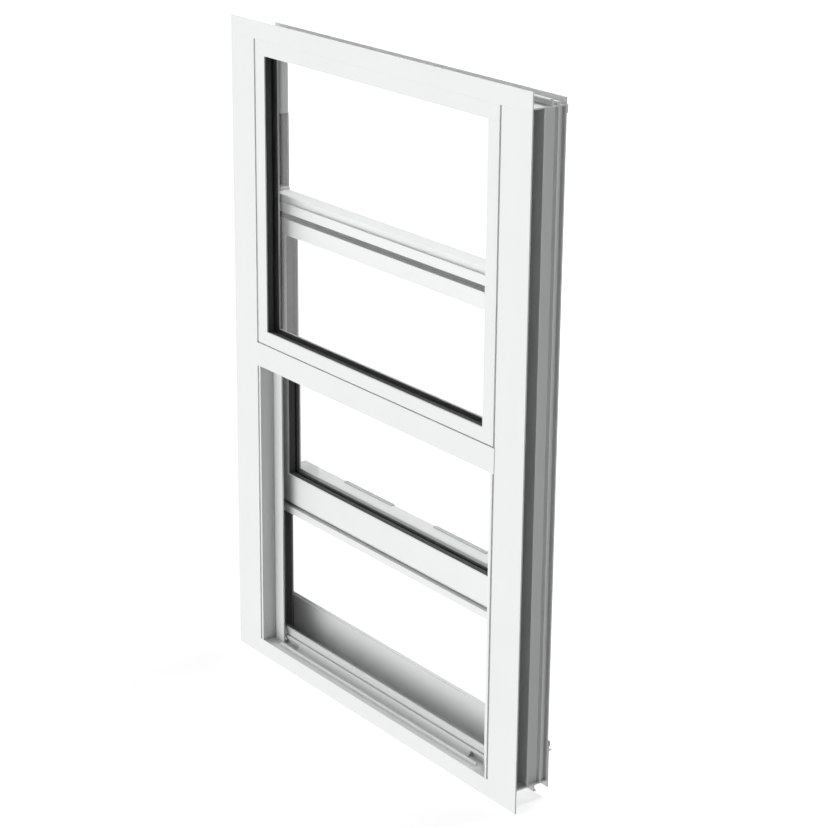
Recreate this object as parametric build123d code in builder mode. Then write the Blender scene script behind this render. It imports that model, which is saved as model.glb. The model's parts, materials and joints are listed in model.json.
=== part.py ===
import os

from build123d import *

# A flange-fixed aluminium single hung window, in millimetres.
# X runs to the right as seen from outside, Y into the wall and Z up.
# The flange bears on the wall at Y = 0, and the origin is the middle of the
# sill flange's bearing strip.

# Frame
overall_width = 690
overall_height = 975
flange_thickness = 2
flange_overhang = 15
bearing_width = 14
bearing_relief = 0.4
wall = 2
jamb_depth = 64.5
jamb_face = 62.25
groove_width = 3.5
groove_depth = 2.4
groove_floor = 1.4
lip_width = 3.5
end_face = 26

# Jamb track
track_front = 31
track_fin = 7
mid_fin_start = 51
mid_fin_thickness = 3
rear_leg_reach = 27.2

# Fixed lite
side_cover = 20
level_cover = 21.5
bead_leg = 6
front_seal = 11.5
glass_thickness = 4
rear_seal = 2
glass_bite = 12
seal_wall = 2
seal_setback = 0.5
side_leg = 27
level_leg = 25.5
leg_thickness = 2.5
bead_seam = 1.5
kerf_width = 5
kerf_depth = 1.2
kerf_offset = 1.5

# Meeting rail
vent_height = 475.5
meeting_height = 35.5
meeting_proud = 0.8
meeting_depth = 28
meeting_seal_depth = 3
meeting_seal_height = 12
meeting_seal_drop = 15

# Head
head_leg_start = 40.5
head_leg_thickness = 2.5
head_leg_lip = 4.5
head_leg_round = 2.2
head_skirt = 9.5
head_rib_start = 49
head_rib_width = 4.8
head_rib_height = 4.5

# Sill
screen_ridge_start = 9
screen_ridge_height = 5
screen_ridge_end_gap = 33.5
cove_start = 13
cove_radius = 10
cove_crest = 2
crest_height = 3
cove_end_gap = 63
inner_rail_start = 26
inner_rail_thickness = 3
inner_rail_height = 23
inner_rail_end_gap = 22.5
rib_size = 0.6
rib_pitch = 2.4
rib_count = 3
sill_hook_start = 41
sill_hook_foot = 4.5
riser_height = 58
bulb_height = 9.5
bulb_depth = 3.5
bulb_wall = 1
riser_nose_drop = 3
riser_nose_height = 2.5
riser_nose_depth = 1.5
riser_fin_drop = 14
riser_fin_reach = 4.5
riser_fin_thickness = 1.5

# Track fittings
stop_length = 115
balance_depth = 10
balance_clearance = 3
liner_wall = 1

# Sash
sash_gap = 3.25
sash_overlap = 18
sill_gap = 5
sash_raise = 203.5
stile_width = 48
sash_rebate = 16
sash_front_seal = 12.5
sash_wall = 2

# Sash top rail, heights measured down from its top
top_rail_height = 59
gutter_height = 10
gutter_depth = 2
gutter_setback = 4
hook_face_height = 14
seal_slot_height = 9
sash_seal_proud = 3.2

# Sash bottom rail, heights measured up from its foot
bottom_rail_height = 60.5
foot_height = 9.5
roll_height = 12
roll_depth = 8
ledge_rise = 4.5
ledge_reach = 24
ledge_lip = 10
ledge_end_gap = 10.8
foot_proud = 2.5
foot_end_gap = 2.5
lift_length = 121
lift_height = 2
lift_depth = 6
lift_spacing = 222
guide_height = 3
guide_inset = 7.5
guide_round = 3
guide_clearance = 0.3

# Widths and heights that follow from the sizes above
half_width = overall_width / 2
body_half = half_width - flange_overhang
opening_half = half_width - jamb_face - groove_width / 2 - lip_width
groove_half = opening_half + lip_width + groove_width
sight_half = opening_half - side_cover
leg_half = opening_half - side_leg
floor_outer = body_half - track_fin
floor_inner = floor_outer - wall
mouth_half = floor_inner - rear_leg_reach
stile_outer = floor_inner - balance_depth - balance_clearance
stile_inner = stile_outer - stile_width
pocket_base = stile_inner + sash_rebate

bottom_edge = -bearing_width / 2
top_edge = bottom_edge + overall_height
body_bottom = bottom_edge + flange_overhang
body_top = top_edge - flange_overhang
sill_top = bottom_edge + end_face
head_bottom = top_edge - end_face
meeting_top = sill_top + vent_height
meeting_bottom = meeting_top - meeting_height
sight_top = head_bottom - level_cover
sight_bottom = meeting_top + level_cover
leg_top = head_bottom - level_leg
leg_bottom = meeting_top + level_leg

sash_height = vent_height + sash_overlap - sill_gap
sash_bottom = sill_top + sill_gap + sash_raise
sash_top = sash_bottom + sash_height
sash_sight_bottom = sash_bottom + bottom_rail_height
sash_sight_top = sash_top - top_rail_height
hook_top = sash_top - sash_wall - gutter_height
hook_bottom = hook_top - hook_face_height
slot_bottom = hook_bottom - seal_slot_height
stile_top = slot_bottom - sash_wall
ledge_top = sash_sight_bottom + ledge_rise

# Depths that follow, from the wall plane into the wall
leg_front = front_seal + glass_thickness + rear_seal
leg_back = leg_front + leg_thickness
track_back = jamb_depth - wall
riser_back = jamb_depth + wall
sash_front = track_front + sash_gap
sash_back = track_back - sash_gap
groove_bottom = groove_depth - flange_thickness
sash_glass_front = sash_front + sash_wall + sash_front_seal
sash_glass_back = sash_glass_front + glass_thickness
sash_seal_back = sash_back - sash_wall


def plate(first_start, first_end, second_start, second_end, mode=Mode.ADD):
    # A rectangle of the sketch between two corners.
    middle = ((first_start + first_end) / 2, (second_start + second_end) / 2)
    with Locations(middle):
        Rectangle(abs(first_end - first_start), abs(second_end - second_start), mode=mode)


def across(half_length):
    # The section plane of a piece that runs across the window: depth, then height.
    return Plane.YZ.offset(-half_length)


def keep(piece, name):
    piece.label = name
    export_step(piece, f"parts/{name}.step")


def make_jamb(name, side):
    with BuildPart() as jamb:
        with BuildSketch(Plane.XY.offset(sill_top)):
            # Flange with its bearing strip, thicker behind the groove beside the inner lip.
            strip_start = half_width - bearing_width
            plate(side * strip_start, side * half_width, -flange_thickness, 0)
            plate(side * opening_half, side * strip_start, -flange_thickness, -bearing_relief)
            groove_back = groove_bottom + groove_floor
            plate(side * opening_half, side * (groove_half + groove_floor), -bearing_relief, groove_back)
            groove_start = groove_half - groove_width
            plate(side * groove_start, side * groove_half, -flange_thickness, groove_bottom, Mode.SUBTRACT)
            # Web behind the lip and the leg that the fixed glass seats on.
            plate(side * opening_half, side * (opening_half + wall), -bearing_relief, track_front)
            plate(side * leg_half, side * opening_half, leg_front, leg_back)
            kerf_end = opening_half - kerf_offset
            kerf_start = kerf_end - kerf_width
            plate(side * kerf_start, side * kerf_end, leg_front, leg_front + kerf_depth, Mode.SUBTRACT)
            # Sash track: front wall, floor, outer fin and rear leg.
            plate(side * opening_half, side * body_half, track_front - wall, track_front)
            plate(side * floor_inner, side * floor_outer, track_front, jamb_depth)
            mid_fin_end = mid_fin_start + mid_fin_thickness
            plate(side * floor_outer, side * body_half, mid_fin_start, mid_fin_end)
            plate(side * (mouth_half + liner_wall), side * body_half, track_back, jamb_depth)
        extrude(amount=head_bottom - sill_top)
        # The seam above the meeting rail runs across the lip into the groove.
        with BuildSketch(Plane.XY.offset(meeting_top)):
            plate(side * opening_half, side * groove_half, -flange_thickness, groove_bottom)
        extrude(amount=bead_seam, mode=Mode.SUBTRACT)
    keep(jamb.part, name)


def make_head():
    with BuildPart() as head:
        with BuildSketch(across(half_width)):
            plate(-flange_thickness, 0, top_edge - bearing_width, top_edge)
            plate(-flange_thickness, -bearing_relief, head_bottom, top_edge - bearing_width)
        extrude(amount=overall_width)
        plate_top = head_bottom + wall
        with BuildSketch(across(body_half)) as section:
            plate(-bearing_relief, riser_back, head_bottom, plate_top)
            # Anchor leg with its rounded lip, the screw rib and the rear fin.
            head_leg_end = head_leg_start + head_leg_thickness
            plate(head_leg_start, head_leg_end, head_bottom, body_top)
            plate(head_leg_start - head_leg_lip, head_leg_end, body_top - wall, body_top)
            plate(head_rib_start, head_rib_start + head_rib_width, plate_top, plate_top + head_rib_height)
            plate(jamb_depth - wall, jamb_depth, head_bottom, body_top)
            # Skirt that hangs behind the jambs.
            plate(jamb_depth, riser_back, head_bottom - head_skirt, plate_top)
            leg_corner = section.vertices().sort_by_distance((head_leg_end, body_top))[0]
            fillet(leg_corner, radius=head_leg_round)
        extrude(amount=2 * body_half)
        with BuildSketch(across(leg_half)):
            plate(leg_front, leg_back, leg_top, head_bottom)
        extrude(amount=2 * leg_half)
    keep(head.part, "head")


def make_sill():
    plate_bottom = sill_top - wall
    riser_top = sill_top + riser_height
    with BuildPart() as sill:
        with BuildSketch(across(half_width)):
            plate(-flange_thickness, 0, bottom_edge, bottom_edge + bearing_width)
            plate(-flange_thickness, -bearing_relief, bottom_edge + bearing_width, sill_top)
        extrude(amount=overall_width)
        with BuildSketch(across(body_half)):
            plate(-bearing_relief, riser_back, plate_bottom, sill_top)
            # Anchor hook below the plate.
            plate(sill_hook_start, sill_hook_start + wall, body_bottom, plate_bottom)
            plate(sill_hook_start, sill_hook_start + sill_hook_foot, body_bottom, body_bottom + wall)
            # Inside riser with a hollow bulb at its top and a fin on the room side.
            plate(jamb_depth, riser_back, body_bottom, riser_top - bulb_depth / 2)
            fin_top = riser_top - riser_fin_drop
            plate(riser_back, riser_back + riser_fin_reach, fin_top - riser_fin_thickness, fin_top)
            with Locations((jamb_depth + bulb_depth / 2, riser_top - bulb_height / 2)):
                SlotOverall(bulb_height, bulb_depth, rotation=90)
                bore_height = bulb_height - 2 * bulb_wall
                SlotOverall(bore_height, bulb_depth - 2 * bulb_wall, rotation=90, mode=Mode.SUBTRACT)
        extrude(amount=2 * body_half)
        # The riser's nose, between the rear legs of the jambs.
        with BuildSketch(across(mouth_half)):
            nose_top = riser_top - riser_nose_drop
            plate(jamb_depth - riser_nose_depth, jamb_depth, nose_top - riser_nose_height, nose_top)
        extrude(amount=2 * mouth_half)
        # Inner rail with fine ribs, between the jambs.
        inner_rail_half = opening_half - inner_rail_end_gap
        with BuildSketch(across(inner_rail_half)):
            rail_end = inner_rail_start + inner_rail_thickness
            rail_top = sill_top + inner_rail_height
            plate(inner_rail_start, rail_end, sill_top, rail_top)
            for rib in range(rib_count):
                rib_top = rail_top - rib * rib_pitch
                plate(inner_rail_start - rib_size, inner_rail_start, rib_top - rib_size, rib_top)
        extrude(amount=2 * inner_rail_half)
        # Cove, cut short at both ends below its crest, which runs on to the jambs.
        cove_half = opening_half - cove_end_gap
        cove_end = cove_start + cove_radius
        cove_top = sill_top + cove_radius
        crest_end = cove_end + cove_crest
        with BuildSketch(across(opening_half)):
            plate(cove_end, crest_end, cove_top - crest_height, cove_top)
        extrude(amount=2 * opening_half)
        with BuildSketch(across(cove_half)):
            with BuildLine():
                CenterArc((cove_start, cove_top), cove_radius, -90, 90)
                Polyline(
                    (cove_end, cove_top),
                    (crest_end, cove_top),
                    (crest_end, sill_top),
                    (cove_start, sill_top),
                )
            make_face()
        extrude(amount=2 * cove_half)
        # Screen ridge.
        ridge_half = opening_half - screen_ridge_end_gap
        with BuildSketch(across(ridge_half)):
            ridge_end = screen_ridge_start + wall
            plate(screen_ridge_start, ridge_end, sill_top, sill_top + screen_ridge_height)
        extrude(amount=2 * ridge_half)
    keep(sill.part, "sill")


def make_meeting_rail():
    front = -flange_thickness - meeting_proud
    tube_front = front + wall
    tube_bottom = meeting_bottom + wall
    tube_top = meeting_top - wall
    with BuildPart() as rail:
        # Front tube, from jamb to jamb ahead of their glazing legs.
        with BuildSketch(across(opening_half)):
            plate(front, leg_front, meeting_bottom, meeting_top)
            plate(tube_front, leg_front - wall, tube_bottom, tube_top, Mode.SUBTRACT)
        extrude(amount=2 * opening_half)
        # Front skin that laps over the lips and grooves of the jambs.
        with BuildSketch(across(groove_half)):
            plate(front, -flange_thickness, meeting_bottom, meeting_top)
        extrude(amount=2 * groove_half)
        # Rear channel between the glazing legs, and the leg behind the glass.
        with BuildSketch(across(leg_half)):
            plate(leg_front, meeting_depth, tube_top, meeting_top)
            plate(leg_front, meeting_depth, meeting_bottom, tube_bottom)
            plate(meeting_depth - wall, meeting_depth, meeting_bottom, meeting_top)
            plate(leg_front, leg_back, tube_top, leg_bottom)
        extrude(amount=2 * leg_half)
    keep(rail.part, "meeting_rail")


def make_meeting_seal():
    seal_top = meeting_top - meeting_seal_drop
    seal_bottom = seal_top - meeting_seal_height
    seal_back = meeting_depth + meeting_seal_depth
    with BuildPart() as seal:
        with BuildSketch(across(leg_half)):
            plate(meeting_depth, seal_back, seal_bottom, seal_top)
        extrude(amount=2 * leg_half)
    keep(seal.part, "meeting_rail_seal")


def make_level_bead(name, sight_edge, outer_edge, seam):
    # Snap-in bead above or below the fixed glass; its leg is on the outer edge, and
    # its face stops short of that edge by the seam.
    inward = 1 if sight_edge > outer_edge else -1
    leg_edge = outer_edge + inward * (wall + seam)
    with BuildPart() as bead:
        with BuildSketch(across(opening_half)):
            plate(-flange_thickness, 0, sight_edge, outer_edge + inward * seam)
            plate(0, bead_leg, leg_edge, outer_edge)
        extrude(amount=2 * opening_half)
    keep(bead.part, name)


def make_upright_bead(name, side):
    with BuildPart() as bead:
        with BuildSketch(Plane.XY.offset(sight_bottom)):
            plate(side * sight_half, side * opening_half, -flange_thickness, 0)
            plate(side * (opening_half - wall), side * opening_half, 0, bead_leg)
        extrude(amount=sight_top - sight_bottom)
    keep(bead.part, name)


def make_glass(name, edge_half, front, bottom, top):
    with BuildPart() as glass:
        with BuildSketch(across(edge_half)):
            plate(front, front + glass_thickness, bottom, top)
        extrude(amount=2 * edge_half)
    keep(glass.part, name)


def make_upright_seal(name, side, sights, depths, bottom, top):
    # Channel that wraps the glass's upright edge: front lip, web and rear lip.
    front_sight, rear_sight = sights
    front, glass_front, glass_back, back = depths
    glass_edge = front_sight + glass_bite
    outer = glass_edge + seal_wall
    with BuildPart() as seal:
        with BuildSketch(Plane.XY.offset(bottom)):
            plate(side * (front_sight + seal_setback), side * outer, front, glass_front)
            plate(side * glass_edge, side * outer, glass_front, glass_back)
            plate(side * (rear_sight + seal_setback), side * outer, glass_back, back)
        extrude(amount=top - bottom)
    keep(seal.part, name)


def make_level_seal(name, halves, sights, outward, depths):
    # Channel that wraps the glass's top or bottom edge, between the upright ones.
    front_half, rear_half = halves
    front_sight, rear_sight = sights
    front, glass_front, glass_back, back = depths
    setback = outward * seal_setback
    glass_edge = front_sight + outward * glass_bite
    outer = glass_edge + outward * seal_wall
    with BuildPart() as seal:
        with BuildSketch(across(front_half)):
            plate(front, glass_front, front_sight + setback, outer)
            plate(glass_front, glass_back, glass_edge, outer)
        extrude(amount=2 * front_half)
        with BuildSketch(across(rear_half)):
            plate(glass_back, back, rear_sight + setback, outer)
        extrude(amount=2 * rear_half)
    keep(seal.part, name)


def make_sash_stop(name, side):
    # Block that fills the top of a track and limits how far the sash rises.
    with BuildPart() as stop:
        with BuildSketch(Plane.XY.offset(head_bottom - stop_length)):
            plate(side * mouth_half, side * floor_inner, track_front, track_back)
        extrude(amount=stop_length)
    keep(stop.part, name)


def make_balance(name, side):
    # Balance channel on the track's floor, with a liner along both walls of the track
    # and over the edge of its rear leg.
    with BuildPart() as balance:
        with BuildSketch(Plane.XY.offset(sill_top)):
            plate(side * (floor_inner - balance_depth), side * floor_inner, track_front, track_back)
            hollow_start = track_front + wall
            hollow_end = track_back - wall
            hollow_inner = floor_inner - balance_depth + wall
            plate(side * hollow_inner, side * floor_inner, hollow_start, hollow_end, Mode.SUBTRACT)
            plate(side * opening_half, side * hollow_inner, track_front, track_front + liner_wall)
            plate(side * mouth_half, side * hollow_inner, track_back - liner_wall, track_back)
            plate(side * mouth_half, side * (mouth_half + liner_wall), track_back, jamb_depth)
        extrude(amount=head_bottom - stop_length - sill_top)
    keep(balance.part, name)


def make_stile(name, side):
    with BuildPart() as stile:
        with BuildSketch(Plane.XY.offset(sash_sight_bottom)):
            plate(side * stile_inner, side * stile_outer, sash_front, sash_back)
            rebate_front = sash_front + sash_wall
            rebate_back = sash_back - sash_wall
            plate(side * stile_inner, side * pocket_base, rebate_front, rebate_back, Mode.SUBTRACT)
            tube_inner = pocket_base + sash_wall
            tube_outer = stile_outer - sash_wall
            plate(side * tube_inner, side * tube_outer, rebate_front, rebate_back, Mode.SUBTRACT)
        extrude(amount=stile_top - sash_sight_bottom)
    keep(stile.part, name)


def make_top_rail():
    front_inside = sash_front + sash_wall
    back_inside = sash_back - sash_wall
    recess = sash_front + gutter_setback
    recess_back = recess + sash_wall
    cap_bottom = sash_top - sash_wall
    gutter_floor = hook_top - gutter_depth
    rebate_top = sash_sight_top + sash_rebate
    with BuildPart() as rail:
        # Upper part, over the ends of the stiles.
        with BuildSketch(across(stile_outer)):
            plate(sash_front, sash_back, cap_bottom, sash_top)
            plate(back_inside, sash_back, stile_top, sash_top)
            # Gutter behind the hook face, and the seal's slot below it.
            plate(recess, recess_back, stile_top, cap_bottom)
            plate(sash_front, recess_back, gutter_floor - sash_wall, gutter_floor)
            plate(sash_front, front_inside, hook_bottom, hook_top)
            plate(sash_front, recess_back, hook_bottom, hook_bottom + sash_wall)
            plate(sash_front, recess_back, stile_top, slot_bottom)
        extrude(amount=2 * stile_outer)
        # Glazing legs and the floor of the glass's rebate, between the stiles.
        with BuildSketch(across(stile_inner)):
            plate(sash_front, front_inside, sash_sight_top, stile_top)
            plate(back_inside, sash_back, sash_sight_top, stile_top)
            plate(sash_front, sash_back, rebate_top, rebate_top + sash_wall)
        extrude(amount=2 * stile_inner)
    keep(rail.part, "sash_top_rail")

    seal_front = recess - sash_seal_proud
    with BuildPart() as seal:
        with BuildSketch(across(stile_outer)):
            plate(seal_front, recess, slot_bottom, hook_bottom)
        extrude(amount=2 * stile_outer)
    keep(seal.part, "sash_rail_seal")


def make_bottom_rail():
    front_inside = sash_front + sash_wall
    back_inside = sash_back - sash_wall
    foot_top = sash_bottom + foot_height
    roll_top = foot_top + roll_height
    roll_back = sash_front + roll_depth
    rebate_floor = sash_sight_bottom - sash_rebate
    ledge_back = sash_back + ledge_reach
    with BuildPart() as rail:
        with BuildSketch(across(stile_outer)):
            # Front face that rolls under above the foot.
            with BuildLine():
                roll_end = (roll_back, foot_top + sash_wall / 2)
                roll = TangentArc((sash_front, roll_top), roll_end, tangent=(0, -1))
                Polyline(
                    roll @ 1,
                    (sash_front, foot_top),
                    (sash_front, sash_bottom),
                    (front_inside, sash_bottom),
                    (front_inside, foot_top - sash_wall),
                    (roll_back + sash_wall, foot_top - sash_wall / 2),
                    (roll_back + sash_wall, foot_top + sash_wall),
                    (front_inside, roll_top + sash_wall),
                    (front_inside, sash_sight_bottom),
                    (sash_front, sash_sight_bottom),
                    roll @ 0,
                )
            make_face()
            plate(sash_front, sash_back, sash_bottom, sash_bottom + sash_wall)
            plate(back_inside, sash_back, sash_bottom, sash_sight_bottom)
            plate(sash_front, sash_back, rebate_floor - sash_wall, rebate_floor)
        extrude(amount=2 * stile_outer)
        # The back wall rises between the stiles to carry the lift ledge on the room
        # side, which is clear of the rear legs of the jambs.
        with BuildSketch(across(stile_inner)):
            plate(back_inside, sash_back, sash_sight_bottom, ledge_top)
        extrude(amount=2 * stile_inner)
        ledge_half = mouth_half - ledge_end_gap
        with BuildSketch(across(ledge_half)):
            plate(sash_back, ledge_back, ledge_top - sash_wall, ledge_top)
            plate(ledge_back - sash_wall, ledge_back, ledge_top - ledge_lip, ledge_top)
        extrude(amount=2 * ledge_half)
        # Weather strip along the foot, between the jambs.
        foot_half = opening_half - foot_end_gap
        with BuildSketch(across(foot_half)):
            plate(sash_front - foot_proud, sash_front, sash_bottom, foot_top)
        extrude(amount=2 * foot_half)
    keep(rail.part, "sash_bottom_rail")


def make_lift(name, side):
    # Finger bar on the lift ledge.
    bar_back = sash_back + ledge_reach
    middle = side * lift_spacing / 2
    with BuildPart() as lift:
        with BuildSketch(Plane.XY.offset(ledge_top)):
            plate(middle - lift_length / 2, middle + lift_length / 2, bar_back - lift_depth, bar_back)
        extrude(amount=lift_height)
        fillet(lift.edges().filter_by(Axis.Z), radius=lift_depth / 4)
    keep(lift.part, name)


def make_guide(name, side):
    # Guide cap on an end of the top rail, which runs between the walls of the track.
    inner = opening_half + guide_inset
    outer = floor_inner - balance_depth - guide_clearance
    front = track_front + liner_wall + guide_clearance
    back = track_back - liner_wall - guide_clearance
    with BuildPart() as guide:
        with BuildSketch(Plane.XY.offset(sash_top)):
            plate(side * inner, side * outer, front, back)
        extrude(amount=guide_height)
        fillet(guide.edges().filter_by(Axis.Z), radius=guide_round)
    keep(guide.part, name)


os.makedirs("parts", exist_ok=True)

make_head()
make_sill()
make_meeting_rail()
make_meeting_seal()
make_level_bead("top_bead", sight_top, head_bottom, 0)
make_level_bead("bottom_bead", sight_bottom, meeting_top, bead_seam)

fixed_depths = (0, front_seal, front_seal + glass_thickness, leg_front)
fixed_edge = sight_half + glass_bite
make_glass("fixed_glass", fixed_edge, front_seal, sight_bottom - glass_bite, sight_top + glass_bite)
fixed_halves = (sight_half, leg_half)
make_level_seal("fixed_top_seal", fixed_halves, (sight_top, leg_top), 1, fixed_depths)
make_level_seal("fixed_bottom_seal", fixed_halves, (sight_bottom, leg_bottom), -1, fixed_depths)

sash_depths = (sash_front + sash_wall, sash_glass_front, sash_glass_back, sash_seal_back)
sash_edge = stile_inner + glass_bite
make_glass(
    "sash_glass", sash_edge, sash_glass_front, sash_sight_bottom - glass_bite, sash_sight_top + glass_bite
)
make_top_rail()
make_bottom_rail()
sash_halves = (stile_inner, stile_inner)
make_level_seal("sash_top_seal", sash_halves, (sash_sight_top, sash_sight_top), 1, sash_depths)
make_level_seal("sash_bottom_seal", sash_halves, (sash_sight_bottom, sash_sight_bottom), -1, sash_depths)

for hand, side in (("left", -1), ("right", 1)):
    make_jamb(f"{hand}_jamb", side)
    make_upright_bead(f"{hand}_bead", side)
    seal_reach = glass_bite + seal_wall
    seal_bottom = sight_bottom - seal_reach
    seal_top = sight_top + seal_reach
    make_upright_seal(f"fixed_{hand}_seal", side, fixed_halves, fixed_depths, seal_bottom, seal_top)
    make_sash_stop(f"{hand}_sash_stop", side)
    make_balance(f"{hand}_balance", side)
    make_stile(f"sash_{hand}_stile", side)
    seal_bottom = sash_sight_bottom - seal_reach
    seal_top = sash_sight_top + seal_reach
    make_upright_seal(f"sash_{hand}_seal", side, sash_halves, sash_depths, seal_bottom, seal_top)
    make_lift(f"{hand}_finger_lift", side)
    make_guide(f"{hand}_sash_guide", side)
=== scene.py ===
import json
import math

import bmesh
import bpy
from mathutils import Matrix, Vector

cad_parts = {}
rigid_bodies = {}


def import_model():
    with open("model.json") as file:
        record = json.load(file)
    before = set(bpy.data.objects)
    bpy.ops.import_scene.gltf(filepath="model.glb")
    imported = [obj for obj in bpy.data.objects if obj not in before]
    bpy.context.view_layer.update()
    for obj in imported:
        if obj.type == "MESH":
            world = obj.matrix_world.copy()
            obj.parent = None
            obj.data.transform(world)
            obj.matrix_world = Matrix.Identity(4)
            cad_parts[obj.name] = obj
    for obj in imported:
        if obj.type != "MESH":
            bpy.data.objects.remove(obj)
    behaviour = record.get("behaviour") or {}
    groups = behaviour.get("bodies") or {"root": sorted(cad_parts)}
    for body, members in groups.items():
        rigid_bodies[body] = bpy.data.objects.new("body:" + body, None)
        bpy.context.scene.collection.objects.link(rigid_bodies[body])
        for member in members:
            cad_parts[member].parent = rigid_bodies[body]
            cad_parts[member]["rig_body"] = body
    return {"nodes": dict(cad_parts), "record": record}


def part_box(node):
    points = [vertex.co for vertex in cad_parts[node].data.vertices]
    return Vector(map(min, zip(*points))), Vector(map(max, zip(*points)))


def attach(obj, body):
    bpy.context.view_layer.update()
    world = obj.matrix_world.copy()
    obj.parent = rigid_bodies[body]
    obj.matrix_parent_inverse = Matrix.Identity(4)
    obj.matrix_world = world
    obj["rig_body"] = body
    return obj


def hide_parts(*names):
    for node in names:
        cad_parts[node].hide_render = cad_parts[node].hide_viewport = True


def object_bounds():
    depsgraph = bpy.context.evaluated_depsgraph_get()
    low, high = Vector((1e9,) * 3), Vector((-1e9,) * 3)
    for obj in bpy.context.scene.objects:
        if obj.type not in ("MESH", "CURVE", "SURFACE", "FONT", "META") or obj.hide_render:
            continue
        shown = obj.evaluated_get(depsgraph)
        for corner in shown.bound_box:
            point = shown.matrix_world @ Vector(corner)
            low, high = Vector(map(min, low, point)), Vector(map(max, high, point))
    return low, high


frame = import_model()
cadBox = [list(corner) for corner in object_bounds()]
slotOf = {row["node"]: row["material_slot"] for row in frame["record"]["subparts"]}
print("frame loaded:", len(frame["nodes"]), "nodes")


# Small helpers for node trees

def newMaterial(name):
    material = bpy.data.materials.new(name)
    material.use_nodes = True
    tree = material.node_tree
    return material, tree, tree.nodes["Principled BSDF"]


def addNode(tree, kind, **values):
    node = tree.nodes.new(kind)
    for name, value in values.items():
        setattr(node, name, value)
    return node


evenly = (1, 1, 1)            # no stretch


def noiseAt(tree, scale, detail, stretch):
    # noise in the part's own metres, stretched so that it runs along an axis
    place = addNode(tree, "ShaderNodeTexCoord")
    mapping = addNode(tree, "ShaderNodeMapping")
    mapping.inputs["Scale"].default_value = stretch
    tree.links.new(place.outputs["Object"], mapping.inputs["Vector"])
    noise = addNode(tree, "ShaderNodeTexNoise")
    noise.inputs["Scale"].default_value = scale
    noise.inputs["Detail"].default_value = detail
    tree.links.new(mapping.outputs["Vector"], noise.inputs["Vector"])
    return noise


noiseRange = (0.3, 0.7)       # where most of a noise's values lie


def spread(tree, source, low, high):
    # turns a noise into a value between low and high
    change = addNode(tree, "ShaderNodeMapRange")
    change.inputs["From Min"].default_value = noiseRange[0]
    change.inputs["From Max"].default_value = noiseRange[1]
    change.inputs["To Min"].default_value = low
    change.inputs["To Max"].default_value = high
    tree.links.new(source.outputs["Fac"], change.inputs["Value"])
    return change


def tint(tree, source, dark, light):
    ramp = addNode(tree, "ShaderNodeValToRGB")
    ramp.color_ramp.elements[0].position = noiseRange[0]
    ramp.color_ramp.elements[0].color = (*dark, 1)
    ramp.color_ramp.elements[1].position = noiseRange[1]
    ramp.color_ramp.elements[1].color = (*light, 1)
    tree.links.new(source.outputs["Fac"], ramp.inputs["Fac"])
    return ramp


def bumpFrom(tree, source, height, under=None):
    bump = addNode(tree, "ShaderNodeBump")
    bump.inputs["Strength"].default_value = 1
    bump.inputs["Distance"].default_value = height
    tree.links.new(source.outputs["Fac"], bump.inputs["Height"])
    if under:
        tree.links.new(under.outputs["Normal"], bump.inputs["Normal"])
    return bump


# White baked enamel on the extrusions

enamel = {
    "dark": (0.806, 0.817, 0.813),
    "light": (0.826, 0.835, 0.831),
    "roughLow": 0.46,
    "roughHigh": 0.54,
    "cloudScale": 9,
    "cloudDetail": 3,
    "dieLineScale": 900,
    "dieLineDetail": 2,
    "drawnOut": 0.004,        # stretch of the die lines along an extrusion
    "dieLine": 0.000008,      # height of the drawn lines under the coat
    "peelScale": 700,
    "peelDetail": 1,
    "orangePeel": 0.000006,   # height of the coat's own ripple
}


def makeEnamel(name, stretch):
    material, tree, shader = newMaterial(name)
    cloud = noiseAt(tree, enamel["cloudScale"], enamel["cloudDetail"], evenly)
    lines = noiseAt(tree, enamel["dieLineScale"], enamel["dieLineDetail"], stretch)
    peel = noiseAt(tree, enamel["peelScale"], enamel["peelDetail"], evenly)
    coat = tint(tree, cloud, enamel["dark"], enamel["light"])
    tree.links.new(coat.outputs["Color"], shader.inputs["Base Color"])
    rough = spread(tree, cloud, enamel["roughLow"], enamel["roughHigh"])
    tree.links.new(rough.outputs["Result"], shader.inputs["Roughness"])
    drawn = bumpFrom(tree, lines, enamel["dieLine"])
    rippled = bumpFrom(tree, peel, enamel["orangePeel"], drawn)
    tree.links.new(rippled.outputs["Normal"], shader.inputs["Normal"])
    return material


levelEnamel = makeEnamel("white_enamel_level", (enamel["drawnOut"], 1, 1))
uprightEnamel = makeEnamel("white_enamel_upright", (1, 1, enamel["drawnOut"]))


# Clear glass

clear = {
    "dark": (0.985, 0.992, 0.989),
    "light": (0.991, 0.996, 0.994),
    "cloudScale": 4,
    "cloudDetail": 2,
    "roughness": 0.0,
    "bend": 1.5,
    "gloss": 0.14,            # kept low, so that the panes stay clear
}


def makeGlass():
    material, tree, shader = newMaterial("clear_glass")
    cloud = noiseAt(tree, clear["cloudScale"], clear["cloudDetail"], evenly)
    body = tint(tree, cloud, clear["dark"], clear["light"])
    tree.links.new(body.outputs["Color"], shader.inputs["Base Color"])
    shader.inputs["Roughness"].default_value = clear["roughness"]
    shader.inputs["IOR"].default_value = clear["bend"]
    shader.inputs["Specular IOR Level"].default_value = clear["gloss"]
    shader.inputs["Transmission Weight"].default_value = 1
    return material


# Rubber and plastics

moulded = {
    "black_seal": {
        "dark": (0.016, 0.016, 0.016),
        "light": (0.028, 0.028, 0.029),
        "rough": 0.6,
        "grain": 0.00002,
    },
    "grey_plastic": {
        "dark": (0.46, 0.47, 0.47),
        "light": (0.52, 0.53, 0.53),
        "rough": 0.5,
        "grain": 0.000015,
    },
    # balance liners along the sash tracks: a grey that is partly their own colour and partly painted shade
    # for the dark deep in the tracks
    "dark_plastic": {
        "dark": (0.27, 0.27, 0.273),
        "light": (0.33, 0.33, 0.333),
        "rough": 0.5,
        "grain": 0.000015,
    },
}


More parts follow.
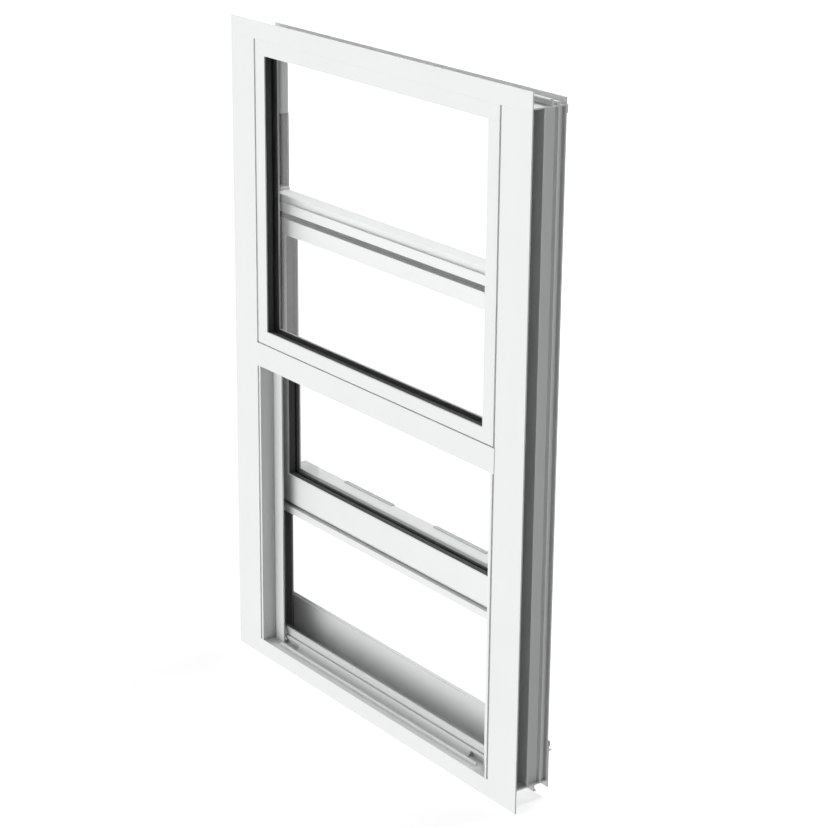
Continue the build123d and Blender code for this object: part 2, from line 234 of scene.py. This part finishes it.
mouldedSkin = {
    "cloudScale": 30,
    "cloudDetail": 4,
    "grainScale": 2200,
    "grainDetail": 2,
    "roughSpread": 0.06,
}


def makeMoulded(slot):
    look = moulded[slot]
    material, tree, shader = newMaterial(slot)
    cloud = noiseAt(tree, mouldedSkin["cloudScale"], mouldedSkin["cloudDetail"], evenly)
    grain = noiseAt(tree, mouldedSkin["grainScale"], mouldedSkin["grainDetail"], evenly)
    body = tint(tree, cloud, look["dark"], look["light"])
    tree.links.new(body.outputs["Color"], shader.inputs["Base Color"])
    off = mouldedSkin["roughSpread"]
    rough = spread(tree, cloud, look["rough"] - off, look["rough"] + off)
    tree.links.new(rough.outputs["Result"], shader.inputs["Roughness"])
    skin = bumpFrom(tree, grain, look["grain"])
    tree.links.new(skin.outputs["Normal"], shader.inputs["Normal"])
    return material


finishes = {slot: makeMoulded(slot) for slot in moulded}
finishes["glass"] = makeGlass()


def isUpright(node):
    low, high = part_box(node)
    return high[2] - low[2] > high[0] - low[0]


def finishFor(node):
    if slotOf[node] == "white_frame":
        return uprightEnamel if isUpright(node) else levelEnamel
    return finishes[slotOf[node]]


print("finishes made:", len(finishes) + 2)


# Shared ways of making a piece

def addPiece(form, node, smoothTo=None):
    # the mesh takes a node's place, body and slot
    bmesh.ops.recalc_face_normals(form, faces=form.faces)
    for face in form.faces:
        face.smooth = True
    mesh = bpy.data.meshes.new(node + "_form")
    form.to_mesh(mesh)
    form.free()
    mesh.materials.append(finishFor(node))
    if smoothTo:
        mesh.set_sharp_from_angle(angle=math.radians(smoothTo))
    piece = bpy.data.objects.new(node + "_form", mesh)
    bpy.context.scene.collection.objects.link(piece)
    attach(piece, frame["nodes"][node]["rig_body"])
    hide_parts(node)
    return piece


def arc(middle, radius, start, end, steps):
    # points on a round corner, angles in degrees
    turns = [math.radians(start + (end - start) * step / steps) for step in range(steps + 1)]
    return [(middle[0] + radius * math.cos(turn), middle[1] + radius * math.sin(turn)) for turn in turns]


def skinRings(rings):
    # closed rings of points, one after another, with a cap at each end
    form = bmesh.new()
    rows = [[form.verts.new(point) for point in ring] for ring in rings]
    count = len(rings[0])
    for near, far in zip(rows, rows[1:]):
        for step in range(count):
            after = (step + 1) % count
            form.faces.new((near[step], near[after], far[after], far[step]))
    form.faces.new(rows[0])
    form.faces.new(rows[-1])
    return form


# Aluminium extrusions: the coat rounds every edge a little

extrusion = {
    "edge": 0.00015,          # radius of a coated edge
    "steps": 2,
    "sharpFrom": 32,          # degrees between two faces that make an edge
    "pieces": [
        "head", "sill", "left_jamb", "right_jamb", "meeting_rail",
        "top_bead", "bottom_bead", "left_bead", "right_bead",
        "sash_top_rail", "sash_bottom_rail", "sash_left_stile", "sash_right_stile",
    ],
}

# Plastic liners and guides, with softer edges
plastic = {
    "edge": 0.00025,
    "steps": 3,
    "sharpFrom": 40,
    "pieces": ["left_balance", "right_balance", "left_sash_guide", "right_sash_guide"],
}

# Sash stops, moulded blocks at the head of each track
stopBlock = {
    "edge": 0.0008,
    "steps": 4,
    "sharpFrom": 40,
    "pieces": ["left_sash_stop", "right_sash_stop"],
}

weldGap = 0.000001
flatTo = 0.5                  # degrees, faces flatter than this become one

# Fine lines on the extrusions: the sill's crest, the jambs' kerfs, the sash's foot
fineLine = {
    "coveHeight": 0.01,       # crest of the cove above the sill's plate
    "crestLift": 0.0022,
    "kerfFloor": (0.0005, 0.002),   # where the kerf's floor lies, behind the face of the glazing leg
    "kerfDeeper": 0.0009,
    "footHeight": 0.0095,
    "footLift": 0.0013,
    "near": 0.0003,           # how closely a point is picked
}


def liftCrest(form):
    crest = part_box("left_jamb")[0][2] + fineLine["coveHeight"]
    for point in form.verts:
        if abs(point.co.z - crest) < fineLine["near"]:
            point.co.z += fineLine["crestLift"]


def deepenKerf(form):
    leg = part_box("fixed_left_seal")[1][1]
    for point in form.verts:
        if fineLine["kerfFloor"][0] < point.co.y - leg < fineLine["kerfFloor"][1]:
            point.co.y += fineLine["kerfDeeper"]


def liftFoot(form):
    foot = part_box("sash_bottom_rail")[0][2] + fineLine["footHeight"]
    for point in form.verts:
        if abs(point.co.z - foot) < fineLine["near"]:
            point.co.z += fineLine["footLift"]


fineForms = {
    "sill": (liftCrest,),
    "left_jamb": (deepenKerf,),
    "right_jamb": (deepenKerf,),
    "sash_bottom_rail": (liftFoot,),
}


def roundEdges(node, look):
    form = bmesh.new()
    form.from_mesh(frame["nodes"][node].data)
    bmesh.ops.remove_doubles(form, verts=form.verts, dist=weldGap)
    bmesh.ops.dissolve_limit(form, angle_limit=math.radians(flatTo), verts=form.verts, edges=form.edges)
    for shape in fineForms.get(node, ()):
        shape(form)
    limit = math.radians(look["sharpFrom"])
    sharp = [edge for edge in form.edges if edge.is_manifold and edge.calc_face_angle() > limit]
    bmesh.ops.bevel(form, geom=sharp, offset=look["edge"], offset_type="OFFSET", segments=look["steps"],
                    profile=0.5, affect="EDGES", clamp_overlap=False)
    piece = addPiece(form, node)
    flats = piece.modifiers.new("flats", "WEIGHTED_NORMAL")
    flats.keep_sharp = True


for look in (extrusion, plastic, stopBlock):
    for node in look["pieces"]:
        roundEdges(node, look)
    print("edges rounded:", ", ".join(look["pieces"]))


# Glazing gaskets: a rubber channel round each sheet of glass, mitred at the corners

gasket = {
    "setback": 0.0005,        # behind the edge of the metal round it
    "nose": 0.0014,           # radius of the front edge
    "noseSteps": 5,
    "tip": 0.0009,            # radius of the rear lip
    "tipSteps": 4,
    "ribs": 3,                # waves along the front lip's face
    "rib": 0.0002,
    "ribSteps": 8,
    "line": 0.002,            # depth of the dark line beside the glass
    "lineWidth": 0.0028,
    "press": 0.00005,         # air between rubber and glass
    "wall": 0.002,
    "smoothTo": 35,
}


def sightBox(left, right, bottom, top):
    return {"left": left, "right": right, "bottom": bottom, "top": top}


def gasketOutline(glassEdge, depths):
    # (which sight, distance outward from it, depth) round the channel's section
    front, glassFront, glassBack, back = depths
    setback = gasket["setback"]
    nose = gasket["nose"]
    tip = gasket["tip"]
    outer = glassEdge + gasket["wall"]
    rubberFront = glassFront - gasket["press"]
    rubberBack = glassBack + gasket["press"]
    inner = glassEdge + gasket["press"]
    faceStart = front + nose
    faceEnd = rubberFront - gasket["lineWidth"]
    section = [("front", outer, front)]
    for out, depth in arc((setback + nose, front + nose), nose, 270, 180, gasket["noseSteps"]):
        section.append(("front", out, depth))
    waves = gasket["ribSteps"] * gasket["ribs"]
    for step in range(1, waves + 1):
        share = step / waves
        swell = 0.5 - 0.5 * math.cos(2 * math.pi * gasket["ribs"] * share)
        depth = faceStart + (faceEnd - faceStart) * share
        section.append(("front", setback + gasket["rib"] * swell, depth))
    section.append(("front", setback + gasket["line"], faceEnd + gasket["lineWidth"] / 3))
    section.append(("front", setback + gasket["line"], rubberFront))
    section.append(("front", inner, rubberFront))
    section.append(("front", inner, rubberBack))
    section.append(("rear", setback, rubberBack))
    for out, depth in arc((setback + tip, back - tip), tip, 180, 90, gasket["tipSteps"]):
        section.append(("rear", out, depth))
    section.append(("front", outer, back))
    return section


def gasketEnds(side):
    # the two corners that a side runs between
    if side in ("left", "right"):
        return (side, "bottom"), (side, "top")
    return ("left", side), ("right", side)


def makeGasket(lite, sights, glassNode, metalDepths):
    glassLow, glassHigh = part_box(glassNode)
    glassEdge = glassHigh[0] - sights["front"]["right"]
    section = gasketOutline(glassEdge, (metalDepths[0], glassLow[1], glassHigh[1], metalDepths[1]))
    outward = {"left": -1, "right": 1, "bottom": -1, "top": 1}
    for side in outward:
        rings = []
        for across, along in gasketEnds(side):
            ring = []
            for which, out, depth in section:
                sight = sights[which]
                x = sight[across] + outward[across] * out
                z = sight[along] + outward[along] * out
                ring.append((x, depth, z))
            rings.append(ring)
        addPiece(skinRings(rings), f"{lite}_{side}_seal", smoothTo=gasket["smoothTo"])


def makeGaskets():
    bead = {side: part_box(side + "_bead") for side in ("left", "right", "bottom", "top")}
    fixedFront = sightBox(bead["left"][1][0], bead["right"][0][0], bead["bottom"][1][2], bead["top"][0][2])
    fixedRear = sightBox(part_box("left_jamb")[1][0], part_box("right_jamb")[0][0],
                         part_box("meeting_rail")[1][2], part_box("head")[0][2])
    low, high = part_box("fixed_left_seal")
    makeGasket("fixed", {"front": fixedFront, "rear": fixedRear}, "fixed_glass", (low[1], high[1]))
    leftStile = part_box("sash_left_stile")
    sashSight = sightBox(leftStile[1][0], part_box("sash_right_stile")[0][0],
                         leftStile[0][2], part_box("sash_top_rail")[0][2])
    low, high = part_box("sash_left_seal")
    makeGasket("sash", {"front": sashSight, "rear": sashSight}, "sash_glass", (low[1], high[1]))


makeGaskets()
print("gaskets: 8")


# Bulb seals between the sash and the meeting rail

bulb = {
    "lobes": 2,
    "base": 0.4,              # share of the depth that is the flat base
    "round": 10,              # steps round a lobe
    "smoothTo": 50,
}


def makeBulbSeal(node, facing):
    # facing is -1 where the lobes look outside, 1 where they look into the room
    low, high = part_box(node)
    depth = high[1] - low[1]
    root = high[1] if facing < 0 else low[1]
    shoulder = root + facing * depth * bulb["base"]
    half = (high[2] - low[2]) / bulb["lobes"] / 2
    section = [(root, low[2]), (shoulder, low[2])]
    for lobe in range(bulb["lobes"]):
        middle = low[2] + half * (2 * lobe + 1)
        for step in range(1, bulb["round"]):
            turn = math.pi * step / bulb["round"]
            swell = depth * (1 - bulb["base"]) * math.sin(turn)
            section.append((shoulder + facing * swell, middle - half * math.cos(turn)))
        section.append((shoulder, middle + half))
    section.append((root, high[2]))
    rings = [[(x, y, z) for y, z in section] for x in (low[0], high[0])]
    addPiece(skinRings(rings), node, smoothTo=bulb["smoothTo"])


makeBulbSeal("sash_rail_seal", -1)
makeBulbSeal("meeting_rail_seal", 1)
print("bulb seals: 2")


# Finger lifts: crowned grip bars with grooves along the top

lift = {
    "corner": 0.0006,
    "cornerSteps": 4,
    "grooves": 3,
    "groove": 0.0003,
    "grooveSteps": 8,
    "endRound": 0.0006,
    "endSteps": 4,
    "smoothTo": 50,
}


def liftSection(width, height):
    corner = lift["corner"]
    section = [(0, 0)]
    section += arc((corner, height - corner), corner, 180, 90, lift["cornerSteps"])
    steps = lift["grooveSteps"] * lift["grooves"]
    for step in range(1, steps):
        share = step / steps
        dip = lift["groove"] * (0.5 - 0.5 * math.cos(2 * math.pi * lift["grooves"] * share))
        section.append((corner + (width - 2 * corner) * share, height - dip))
    section += arc((width - corner, height - corner), corner, 90, 0, lift["cornerSteps"])
    section.append((width, 0))
    return section


def makeLift(node):
    low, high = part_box(node)
    width = high[1] - low[1]
    height = high[2] - low[2]
    section = liftSection(width, height)
    ends = []                 # how far in from the end, and how much smaller there
    for step in range(lift["endSteps"] + 1):
        turn = math.pi / 2 * step / lift["endSteps"]
        ends.append((lift["endRound"] * (1 - math.cos(turn)), lift["endRound"] * (1 - math.sin(turn))))
    stations = [(low[0] + inset, less) for inset, less in ends]
    stations += [(high[0] - inset, less) for inset, less in reversed(ends)]
    rings = []
    for x, less in stations:
        narrow = (width - 2 * less) / width
        lower = (height - less) / height
        middle = low[1] + width / 2
        rings.append([(x, middle + (y - width / 2) * narrow, low[2] + z * lower) for y, z in section])
    addPiece(skinRings(rings), node, smoothTo=lift["smoothTo"])


for node in ("left_finger_lift", "right_finger_lift"):
    makeLift(node)
print("finger lifts: 2")


# Sheets of glass keep their own solids

for node in ("fixed_glass", "sash_glass"):
    sheet = frame["nodes"][node]
    sheet.data.materials.clear()
    sheet.data.materials.append(finishes["glass"])
    sheet.visible_shadow = False
    sheet.visible_diffuse = False
print("glass: 2 sheets")


# Floor, light and camera

studio = {
    "floorColour": (0.75, 0.75, 0.75, 1),
    "floorLift": 0.6,         # what the camera sees on top of the floor's own light
    "floorFade": (0.7, 2.6),  # metres from the window, where the floor goes over to plain white
    "floorSize": 14,
    "floorRough": 0.9,
    "bounces": 1,             # times that light passes from one matt face to the next
    "domeSharp": 3.0,         # how closely each soft side keeps to its own direction
    "domes": {
        "frontLeft": {"side": (-0.7071, -0.7071, 0), "level": 2.42},
        "frontLow": {"side": (0, -0.7071, -0.7071), "level": 1.18},
        "back": {"side": (-0.5, 0.866, 0), "level": 1.3},
    },
    "lamps": {
        "right": {"place": (4.35, 0, 0.75), "aim": (0.35, 0, 0.5), "size": (0.5, 1), "power": 37},
        "topBack": {"place": (0.2, 1.2, 3.4), "aim": (0.2, 0.6, 0), "size": (1.6, 1.6), "power": 58},
    },
}


def seenRays(tree):
    # 1 for rays from the camera, off gloss and through glass
    path = addNode(tree, "ShaderNodeLightPath")
    first = addNode(tree, "ShaderNodeMath", operation="MAXIMUM")
    second = addNode(tree, "ShaderNodeMath", operation="MAXIMUM")
    tree.links.new(path.outputs["Is Camera Ray"], first.inputs[0])
    tree.links.new(path.outputs["Is Glossy Ray"], first.inputs[1])
    tree.links.new(first.outputs[0], second.inputs[0])
    tree.links.new(path.outputs["Is Transmission Ray"], second.inputs[1])
    return second


def makeFloor():
    half = studio["floorSize"] / 2
    level = cadBox[0][2]
    corners = [(-half, -half, level), (half, -half, level), (half, half, level), (-half, half, level)]
    mesh = bpy.data.meshes.new("floor")
    mesh.from_pydata(corners, [], [(0, 1, 2, 3)])
    floor = bpy.data.objects.new("floor", mesh)
    bpy.context.scene.collection.objects.link(floor)
    floor.visible_diffuse = False     # the low soft side reaches the window through the floor
    floor.visible_shadow = False
    material, tree, shader = newMaterial("floor")
    shader.inputs["Base Color"].default_value = studio["floorColour"]
    shader.inputs["Roughness"].default_value = studio["floorRough"]
    shader.inputs["Specular IOR Level"].default_value = 0
    shader.inputs["Emission Color"].default_value = (1, 1, 1, 1)
    place = addNode(tree, "ShaderNodeTexCoord")
    away = addNode(tree, "ShaderNodeVectorMath", operation="LENGTH")
    tree.links.new(place.outputs["Object"], away.inputs[0])
    fade = addNode(tree, "ShaderNodeMapRange", interpolation_type="SMOOTHSTEP")
    fade.inputs["From Min"].default_value = studio["floorFade"][0]
    fade.inputs["From Max"].default_value = studio["floorFade"][1]
    fade.inputs["To Min"].default_value = studio["floorLift"]
    fade.inputs["To Max"].default_value = 1
    tree.links.new(away.outputs["Value"], fade.inputs["Value"])
    shown = addNode(tree, "ShaderNodeMath", operation="MULTIPLY")
    tree.links.new(seenRays(tree).outputs[0], shown.inputs[0])
    tree.links.new(fade.outputs["Result"], shown.inputs[1])
    tree.links.new(shown.outputs[0], shader.inputs["Emission Strength"])
    mesh.materials.append(material)


def domeLight(tree, dome):
    # strongest towards the dome's side, fading to nothing at right angles to it
    place = addNode(tree, "ShaderNodeTexCoord")
    towards = addNode(tree, "ShaderNodeVectorMath", operation="DOT_PRODUCT")
    towards.inputs[1].default_value = dome["side"]
    tree.links.new(place.outputs["Generated"], towards.inputs[0])
    near = addNode(tree, "ShaderNodeMath", operation="MAXIMUM")
    near.inputs[1].default_value = 0
    tree.links.new(towards.outputs["Value"], near.inputs[0])
    soft = addNode(tree, "ShaderNodeMath", operation="POWER")
    soft.inputs[1].default_value = studio["domeSharp"]
    tree.links.new(near.outputs[0], soft.inputs[0])
    strong = addNode(tree, "ShaderNodeMath", operation="MULTIPLY")
    strong.inputs[1].default_value = dome["level"]
    tree.links.new(soft.outputs[0], strong.inputs[0])
    return strong


def makeWorld():
    world = bpy.data.worlds.new("studio")
    bpy.context.scene.world = world
    world.use_nodes = True
    tree = world.node_tree
    sky = tree.nodes["Background"]
    sky.inputs["Color"].default_value = (1, 1, 1, 1)
    sides = [domeLight(tree, dome) for dome in studio["domes"].values()]
    total = sides[0]
    for side in sides[1:]:
        both = addNode(tree, "ShaderNodeMath", operation="ADD")
        tree.links.new(total.outputs[0], both.inputs[0])
        tree.links.new(side.outputs[0], both.inputs[1])
        total = both
    level = addNode(tree, "ShaderNodeMapRange")
    tree.links.new(seenRays(tree).outputs[0], level.inputs["Value"])
    tree.links.new(total.outputs[0], level.inputs["To Min"])
    level.inputs["To Max"].default_value = 1
    tree.links.new(level.outputs["Result"], sky.inputs["Strength"])
    bpy.context.scene.cycles.diffuse_bounces = studio["bounces"]


def makeLamps():
    for name, look in studio["lamps"].items():
        lamp = bpy.data.lights.new(name + "Lamp", "AREA")
        lamp.shape = "RECTANGLE"
        lamp.size = look["size"][0]
        lamp.size_y = look["size"][1]
        lamp.energy = look["power"]
        holder = bpy.data.objects.new(name + "Lamp", lamp)
        bpy.context.scene.collection.objects.link(holder)
        holder.location = look["place"]
        away = Vector(look["place"]) - Vector(look["aim"])
        holder.rotation_euler = away.to_track_quat("Z", "Y").to_euler()


view = {
    "place": (2.5656, -1.7967, 1.5244),
    "turn": 53.863,           # degrees left of straight at the window
    "dip": 18.737,            # degrees down
    "roll": 0.548,
    "lens": 103.85,
    "sensor": 36,
}


def makeCamera():
    lens = bpy.data.cameras.new("camera")
    lens.sensor_width = view["sensor"]
    lens.lens = view["lens"]
    camera = bpy.data.objects.new("camera", lens)
    bpy.context.scene.collection.objects.link(camera)
    turn = Matrix.Rotation(math.radians(view["turn"]), 4, "Z")
    dip = Matrix.Rotation(math.radians(90 - view["dip"]), 4, "X")
    roll = Matrix.Rotation(math.radians(view["roll"]), 4, "Z")
    camera.matrix_world = Matrix.Translation(view["place"]) @ turn @ dip @ roll
    bpy.context.scene.camera = camera


makeFloor()
makeWorld()
makeLamps()
makeCamera()
bpy.context.scene.view_settings.view_transform = "Standard"
print("studio ready")
